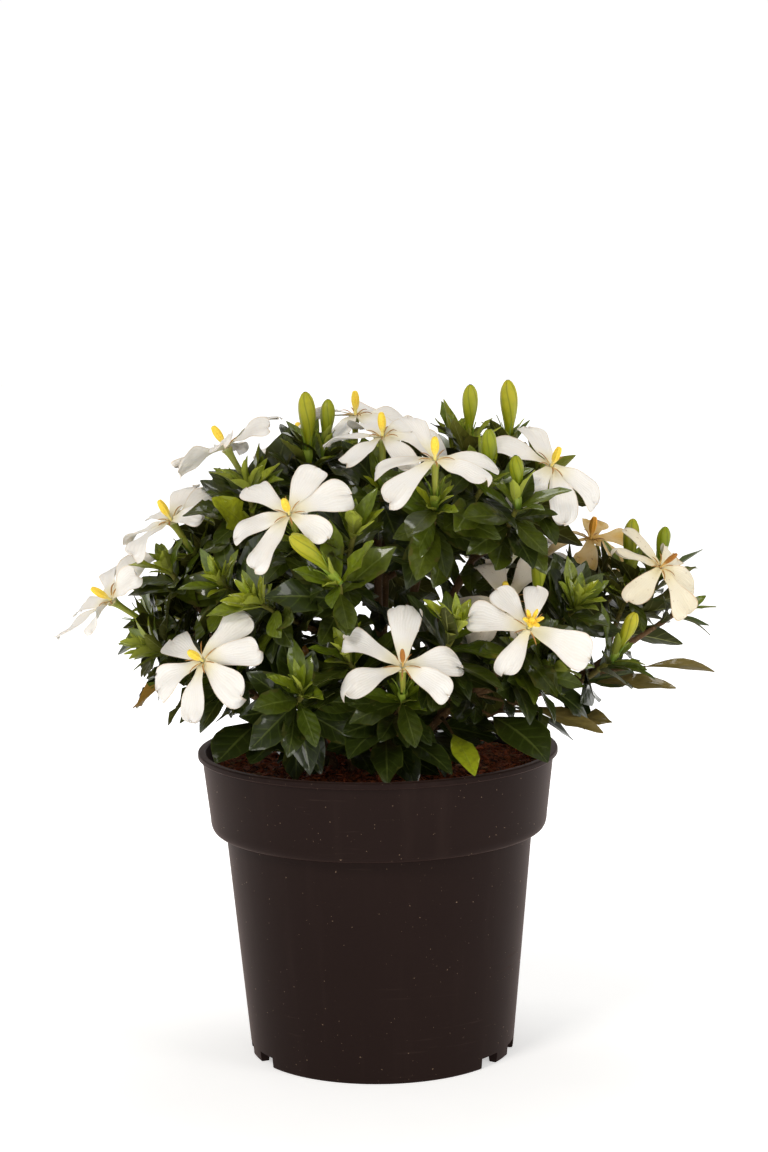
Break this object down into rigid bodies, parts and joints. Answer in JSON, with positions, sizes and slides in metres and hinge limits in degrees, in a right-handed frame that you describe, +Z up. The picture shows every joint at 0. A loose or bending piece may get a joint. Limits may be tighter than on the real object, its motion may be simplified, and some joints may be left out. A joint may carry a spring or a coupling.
{
  "type": "potted gardenia",
  "caption": "Single-flowered gardenia in a plain black nursery pot: a domed crown of glossy leaves, open cream pinwheel blooms, fluted green buds and yellow pistils over brown compost.",
  "frame": {"origin": "centre of the pot's underside, on the surface that the pot stands on", "axes": "+Z up the pot's axis, -Y the front, which the best blooms face, +X the plant's right as seen from the front"},
  "size_m": [0.349, 0.2362, 0.3569],
  "materials": {
    "pot_plastic": "satin",
    "compost": "matte",
    "foliage": "gloss",
    "petal": "satin",
    "aged_petal": "satin",
    "pistil": "matte"
  },
  "bodies": {
    "root": {"pot": "pot_plastic", "soil": "compost", "bloom_01": "petal", "bloom_02": "petal", "bloom_03": "petal", "bloom_04": "petal", "bloom_05": "petal", "bloom_06": "petal", "bloom_07": "petal", "bloom_08": "petal", "bloom_09": "petal", "bloom_10": "petal", "bloom_11": "aged_petal", "bloom_12": "aged_petal", "bloom_13": "petal", "bloom_14": "petal", "bloom_15": "petal", "bloom_16": "petal", "bloom_17": "petal", "bloom_18": "petal", "bloom_19": "petal", "pistil_01": "pistil", "pistil_02": "pistil", "pistil_03": "pistil", "pistil_04": "pistil", "pistil_05": "pistil", "pistil_06": "pistil", "pistil_07": "pistil", "pistil_08": "pistil", "pistil_09": "pistil", "pistil_10": "pistil", "pistil_11": "pistil", "pistil_12": "pistil", "pistil_13": "pistil", "pistil_14": "pistil", "pistil_15": "pistil", "pistil_16": "pistil", "pistil_17": "pistil", "pistil_18": "pistil", "pistil_19": "pistil", "stem_left_low": "foliage", "stem_left": "foliage", "stem_left_high": "foliage", "stem_upper_left": "foliage", "stem_front_left": "foliage", "stem_top": "foliage", "stem_top_right": "foliage", "stem_right_high": "foliage", "stem_right": "foliage", "stem_far_right": "foliage", "stem_front": "foliage", "stem_front_right": "foliage", "stem_back_left": "foliage", "stem_back": "foliage", "stem_back_right": "foliage"}
  },
  "joints": []
}
